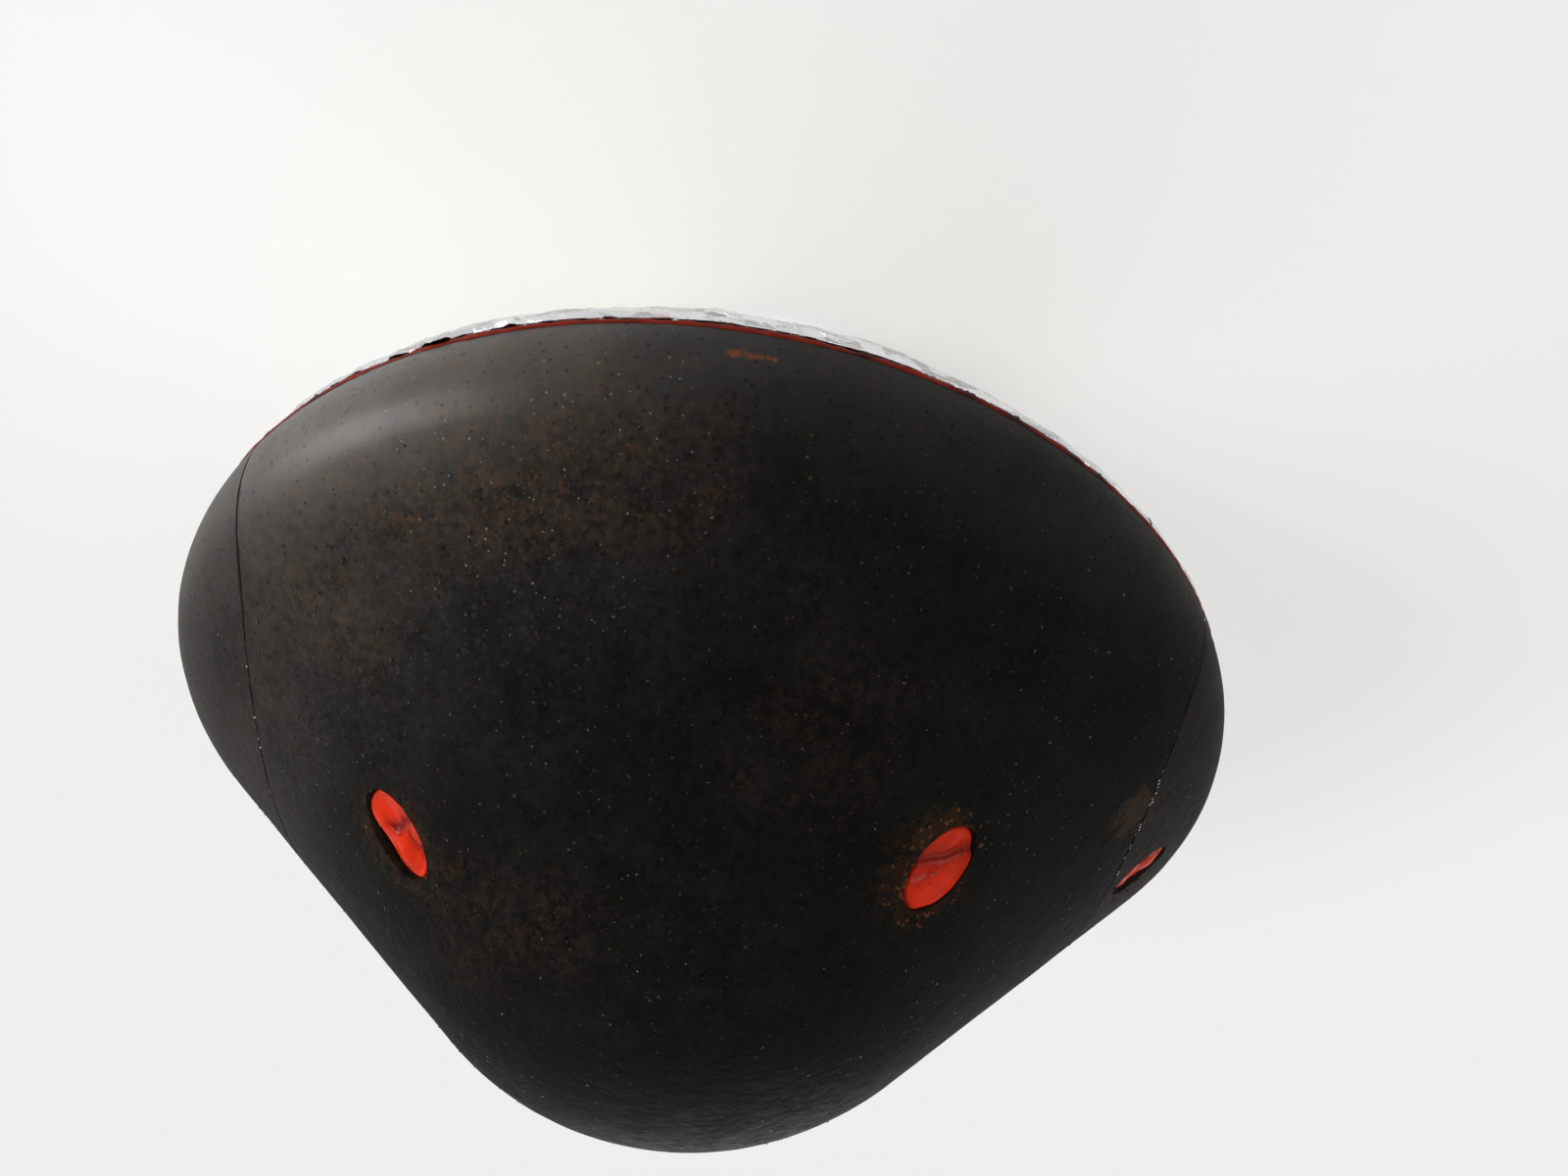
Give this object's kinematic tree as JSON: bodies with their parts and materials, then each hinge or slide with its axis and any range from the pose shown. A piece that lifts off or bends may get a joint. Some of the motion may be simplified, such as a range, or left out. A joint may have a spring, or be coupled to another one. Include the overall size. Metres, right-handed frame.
{
  "type": "re-entry capsule",
  "caption": "Small uncrewed re-entry capsule with a dark conical heat shield, silicone-plugged fasteners, a tapered backshell with a lift-off hatch, and a parachute lid in its aft ring.",
  "frame": {"origin": "centre of the aft face, on the floor the capsule stands on", "axes": "+Z along the axis of the capsule towards its nose, +Y towards the access hatch"},
  "size_m": [0.9, 0.9, 0.74],
  "materials": {
    "ablator": "rough, charred, dark charcoal",
    "dish_metal": "milled",
    "silicone": "glossy red-orange silicone",
    "film": "crinkled metal film",
    "shell": "matt pale coating",
    "ring_metal": "machined",
    "deck_panel": "conversion coated",
    "block": "plain block",
    "pack_cloth": "woven bag",
    "window": "matt radome",
    "connector": "plated"
  },
  "bodies": {
    "capsule": {"heat_shield": "ablator", "shield_side_1": "ablator", "shield_side_2": "ablator", "shield_dish": "dish_metal", "seam_seal": "silicone", "edge_band": "film", "main_ring": "ring_metal", "payload_deck": "deck_panel", "payload_block": "block", "backshell_panel_1": "shell", "backshell_panel_2": "shell", "backshell_panel_3": "shell", "longerons": "ring_metal", "hatch_land": "ring_metal", "aft_ring": "ring_metal", "aft_bulkhead": "ring_metal", "parachute_can": "ring_metal", "parachute_pack": "pack_cloth", "umbilical_plate": "connector", "shield_plug_1": "silicone", "shield_plug_2": "silicone", "shield_plug_3": "silicone", "shield_plug_4": "silicone", "shield_plug_5": "silicone", "shield_plug_6": "silicone", "vent_port_1": "connector", "vent_port_2": "connector", "antenna_window_1": "window", "antenna_window_2": "window", "antenna_window_3": "window"},
    "hatch": {"access_hatch": "shell"},
    "lid": {"parachute_lid": "shell"}
  },
  "joints": [
    {"name": "hatch_lift", "type": "slide", "parent": "capsule", "child": "hatch", "axis": [0, 0.8685, -0.4957], "range_m": [0, 0.12]},
    {"name": "lid_drop", "type": "slide", "parent": "capsule", "child": "lid", "axis": [0, 0, -1], "range_m": [0, 0.12]}
  ]
}
